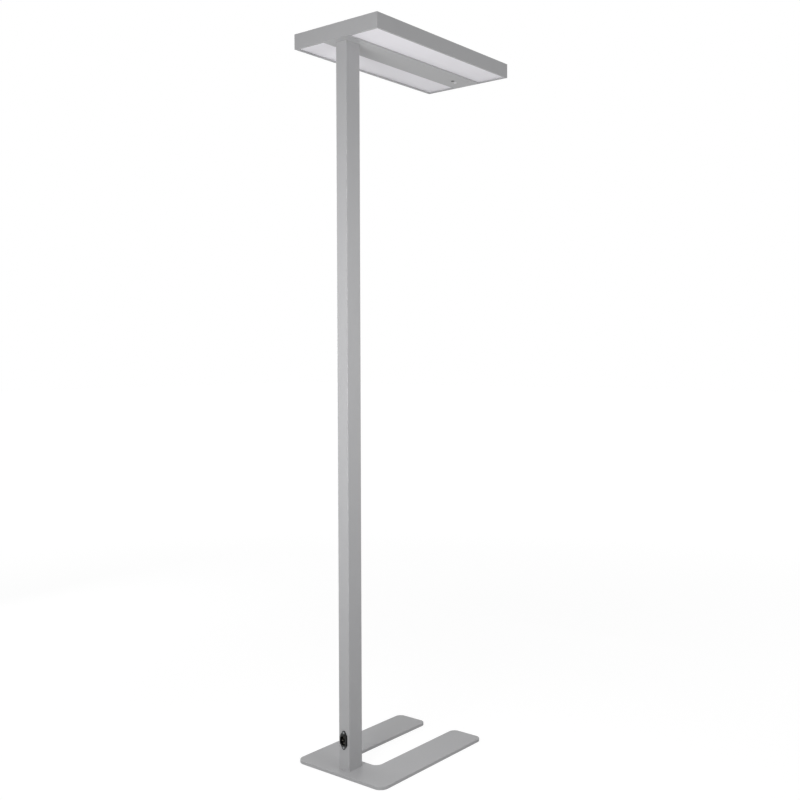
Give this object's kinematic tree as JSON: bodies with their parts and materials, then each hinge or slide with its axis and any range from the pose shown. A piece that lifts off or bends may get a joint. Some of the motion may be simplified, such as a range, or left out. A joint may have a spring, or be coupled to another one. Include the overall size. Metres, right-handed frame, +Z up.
{
  "type": "office floor lamp",
  "caption": "Free-standing office floor lamp with a flat rectangular head, opal panels, an upright mast and a U-shaped foot plate that fits around a desk leg.",
  "frame": {"origin": "on the floor, under the middle of the whole lamp", "axes": "+Z up; -Y is the side that the head and the legs of the foot reach to; +X is to the right for someone who looks along +Y"},
  "size_m": [0.303, 0.5864, 1.95],
  "materials": {
    "powder_coated_steel": "silver-grey satin powder coat",
    "powder_coated_aluminium": "silver-grey satin powder coat",
    "opal_acrylic": "opal, satin on the outer face",
    "black_plastic": "moulded, fine grain",
    "button_plastic": "moulded, satin",
    "nickel_plated_brass": "bright nickel plating",
    "zinc_plated_steel": "bright zinc plating",
    "galvanised_sheet": "galvanised, spangled",
    "mill_aluminium": "mill finish",
    "spring_steel": "drawn wire",
    "black_rubber": "matt",
    "black_pvc": "soft satin",
    "white_pvc": "soft satin",
    "white_sheet": "white reflective paint",
    "white_circuit_board": "white solder mask",
    "led_phosphor": "yellow phosphor in a white case",
    "green_circuit_board": "green solder mask",
    "white_plastic": "moulded, satin",
    "grey_plastic": "moulded, satin",
    "sensor_resin": "clear dark resin"
  },
  "bodies": {
    "lamp": {"base_plate": "powder_coated_steel", "board_connectors": "white_plastic", "board_rivets": "white_plastic", "board_standoffs": "zinc_plated_steel", "button_spring": "spring_steel", "centre_channel": "galvanised_sheet", "channel_end_screws": "zinc_plated_steel", "cleat_screws": "zinc_plated_steel", "control_board": "green_circuit_board", "control_board_screws": "zinc_plated_steel", "corner_cleats": "mill_aluminium", "cover_studs": "zinc_plated_steel", "diffuser_lower_left": "opal_acrylic", "diffuser_lower_right": "opal_acrylic", "diffuser_upper_left": "opal_acrylic", "diffuser_upper_right": "opal_acrylic", "earth_tag": "nickel_plated_brass", "foot_pads": "black_rubber", "frame_rail_front": "powder_coated_aluminium", "frame_rail_left": "powder_coated_aluminium", "frame_rail_rear": "powder_coated_aluminium", "frame_rail_right": "powder_coated_aluminium", "gear_leads": "white_pvc", "gear_screws": "zinc_plated_steel", "gear_tray_left": "white_sheet", "gear_tray_right": "white_sheet", "head_bracket": "galvanised_sheet", "head_bracket_screws": "zinc_plated_steel", "inlet_body": "black_plastic", "inlet_boot": "black_pvc", "inlet_earth_pin": "nickel_plated_brass", "inlet_nuts": "zinc_plated_steel", "inlet_pins": "nickel_plated_brass", "inlet_screws": "zinc_plated_steel", "lead_grommet": "black_rubber", "led_board_down_left": "white_circuit_board", "led_board_down_right": "white_circuit_board", "led_board_up_left": "white_circuit_board", "led_board_up_right": "white_circuit_board", "led_driver": "white_plastic", "led_leads": "white_pvc", "leds_down_left": "led_phosphor", "leds_down_right": "led_phosphor", "leds_up_left": "led_phosphor", "leds_up_right": "led_phosphor", "light_sensor": "sensor_resin", "mains_lead": "black_pvc", "mast_foot_screws": "zinc_plated_steel", "mast_profile": "powder_coated_aluminium", "sensor_lens": "opal_acrylic", "spine_cover": "powder_coated_aluminium", "stud_nuts": "zinc_plated_steel", "tab_receptacles": "nickel_plated_brass", "tact_switch": "black_plastic", "terminal_block": "grey_plastic", "top_cover": "powder_coated_aluminium", "top_cover_screws": "zinc_plated_steel", "tray_screws": "zinc_plated_steel"},
    "button": {"dimmer_button": "button_plastic"}
  },
  "joints": [
    {"name": "dimmer_button_press", "type": "slide", "parent": "lamp", "child": "button", "axis": [0, 0, 1], "range_m": [0, 0.001], "stiffness_N_per_m": 500, "springref_m": -0.001, "deforming": ["button_spring"]}
  ]
}
